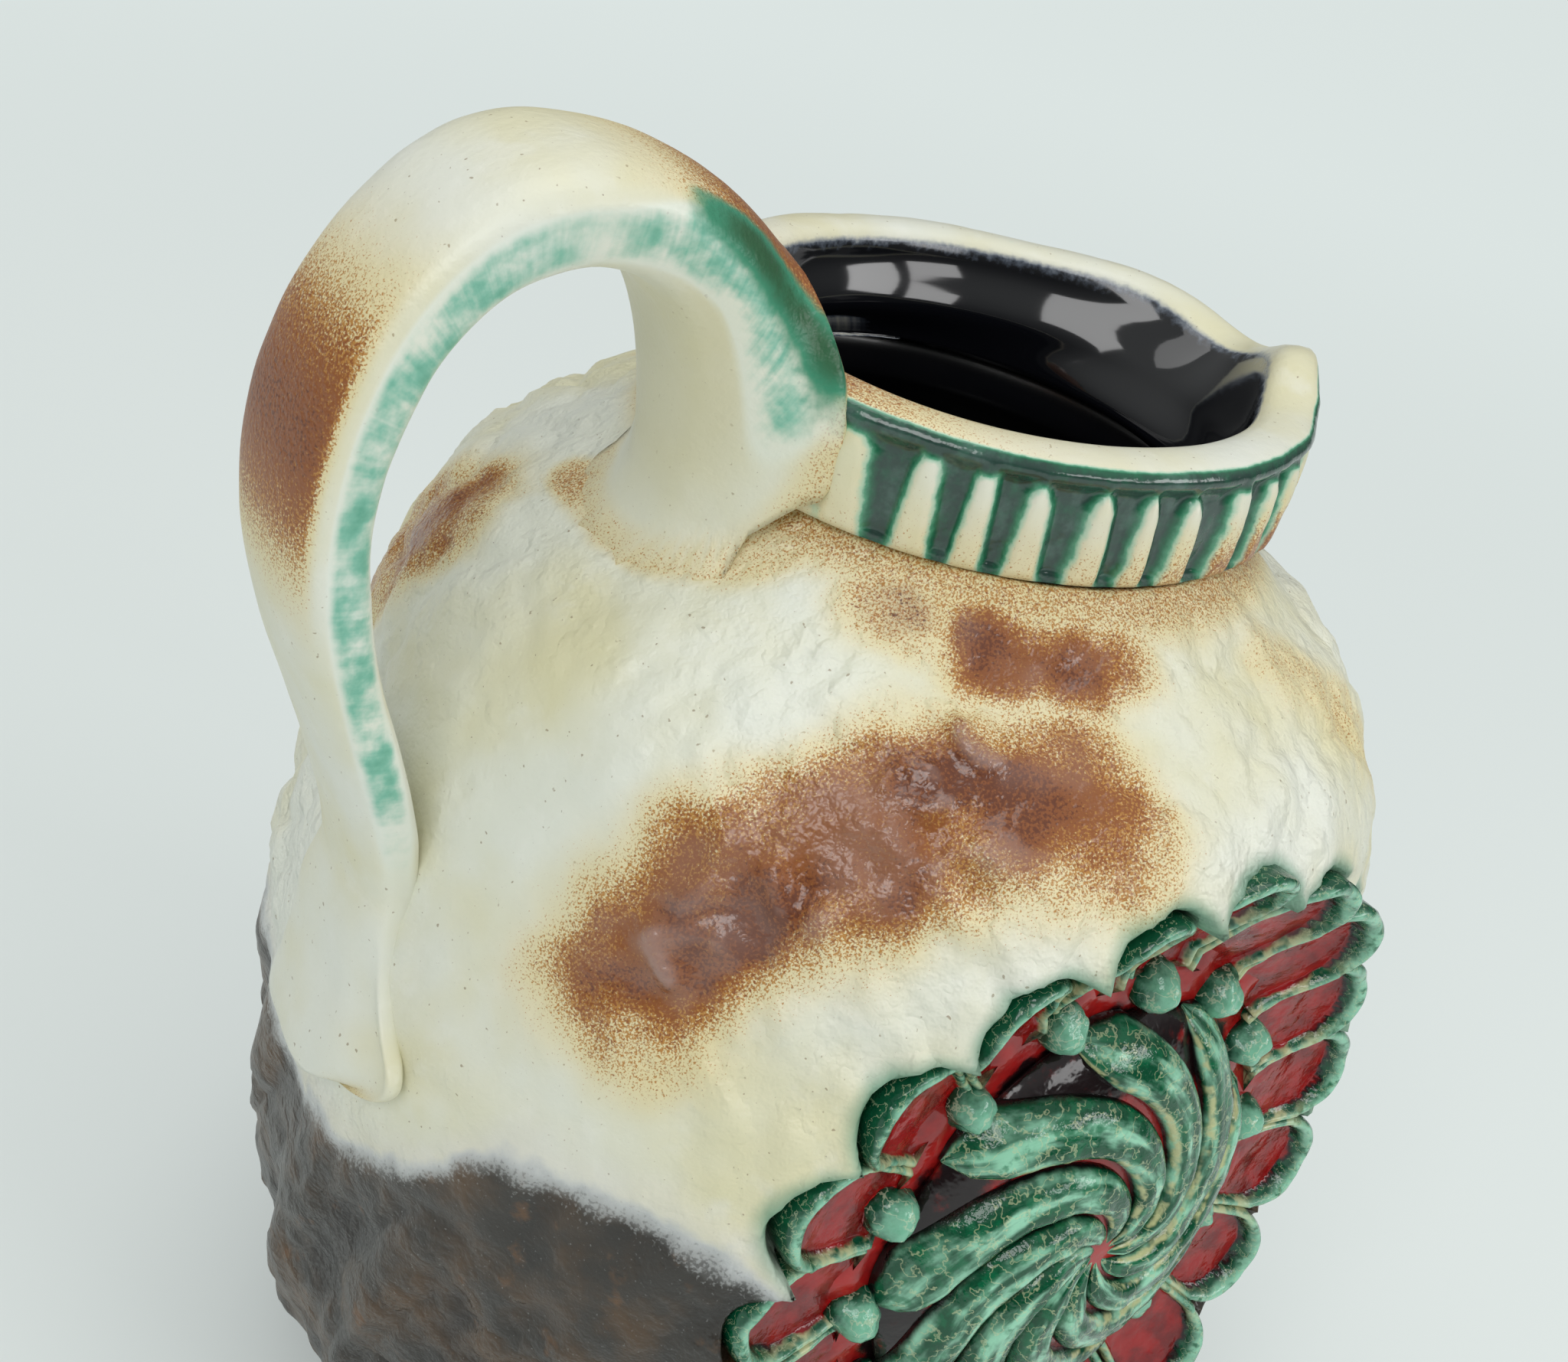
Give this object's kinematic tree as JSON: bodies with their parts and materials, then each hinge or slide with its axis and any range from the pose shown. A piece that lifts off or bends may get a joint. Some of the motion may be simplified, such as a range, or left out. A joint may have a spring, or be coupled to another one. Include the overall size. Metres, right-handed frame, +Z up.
{
  "type": "ceramic jug",
  "caption": "Round-bellied glazed ceramic jug with an arched strap handle, a fluted collar drawn to a pouring lip and a raised flower rosette set in its flattened front.",
  "frame": {"origin": "centre of the flat base, on the surface that the jug stands on", "axes": "+Z up the jug's axis, +X towards the pouring lip, -X towards the handle, the rosette faces about -Y"},
  "size_m": [0.2094, 0.1862, 0.2506],
  "materials": {
    "cream_glaze": "satin ivory glaze with sprayed brown patches, dark matt brown below",
    "black_glaze": "glossy black",
    "collar_glaze": "glossy cream bars between dark green pooled glaze",
    "handle_glaze": "satin ivory glaze with sprayed brown and brushed teal",
    "crimson_glaze": "glossy crimson, black in the hollows",
    "petal_glaze": "glossy crimson with green rims",
    "bead_glaze": "glossy crackled sea green",
    "rib_glaze": "glossy dark green with pale edges"
  },
  "bodies": {
    "root": {"body": "cream_glaze", "inner_glaze": "black_glaze", "neck_collar": "collar_glaze", "handle": "handle_glaze", "rosette_ground": "crimson_glaze", "whirl_boss": "crimson_glaze", "petal_01": "petal_glaze", "petal_02": "petal_glaze", "petal_03": "petal_glaze", "petal_04": "petal_glaze", "petal_05": "petal_glaze", "petal_06": "petal_glaze", "petal_07": "petal_glaze", "petal_08": "petal_glaze", "petal_09": "petal_glaze", "petal_10": "petal_glaze", "petal_11": "petal_glaze", "petal_12": "petal_glaze", "petal_13": "petal_glaze", "petal_14": "petal_glaze", "petal_15": "petal_glaze", "petal_16": "petal_glaze", "petal_17": "petal_glaze", "petal_18": "petal_glaze", "petal_19": "petal_glaze", "bead_01": "bead_glaze", "bead_02": "bead_glaze", "bead_03": "bead_glaze", "bead_04": "bead_glaze", "bead_05": "bead_glaze", "bead_06": "bead_glaze", "bead_07": "bead_glaze", "bead_08": "bead_glaze", "bead_09": "bead_glaze", "bead_10": "bead_glaze", "bead_11": "bead_glaze", "bead_12": "bead_glaze", "bead_13": "bead_glaze", "bead_14": "bead_glaze", "whirl_rib_01": "rib_glaze", "whirl_rib_02": "rib_glaze", "whirl_rib_03": "rib_glaze", "whirl_rib_04": "rib_glaze", "whirl_rib_05": "rib_glaze", "whirl_rib_06": "rib_glaze", "whirl_rib_07": "rib_glaze", "whirl_rib_08": "rib_glaze", "whirl_rib_09": "rib_glaze"}
  },
  "joints": []
}
